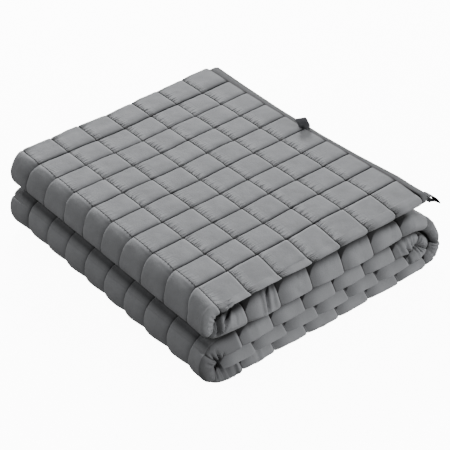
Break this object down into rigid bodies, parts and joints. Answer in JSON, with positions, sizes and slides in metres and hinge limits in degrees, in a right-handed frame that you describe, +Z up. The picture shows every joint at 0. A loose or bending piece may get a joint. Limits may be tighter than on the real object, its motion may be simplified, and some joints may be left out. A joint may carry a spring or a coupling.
{
  "type": "folded weighted blanket",
  "caption": "Quilted weighted blanket, folded in thirds and rolled over into a flat stack, with ribbon loops on its hem for tying on a cover.",
  "frame": {"origin": "on the surface the blanket rests on, under the middle of its outline", "axes": "+Z up; +Y along the folded blanket's longer side; +X towards the hem that shows on top"},
  "size_m": [0.4326, 0.544, 0.157],
  "materials": {
    "cotton_shell": "matt woven cotton, mid grey",
    "ribbon": "charcoal satin ribbon"
  },
  "bodies": {
    "root": {"quilt": "cotton_shell", "ribbon_loop_edge": "ribbon", "ribbon_loop_corner": "ribbon"}
  },
  "joints": []
}
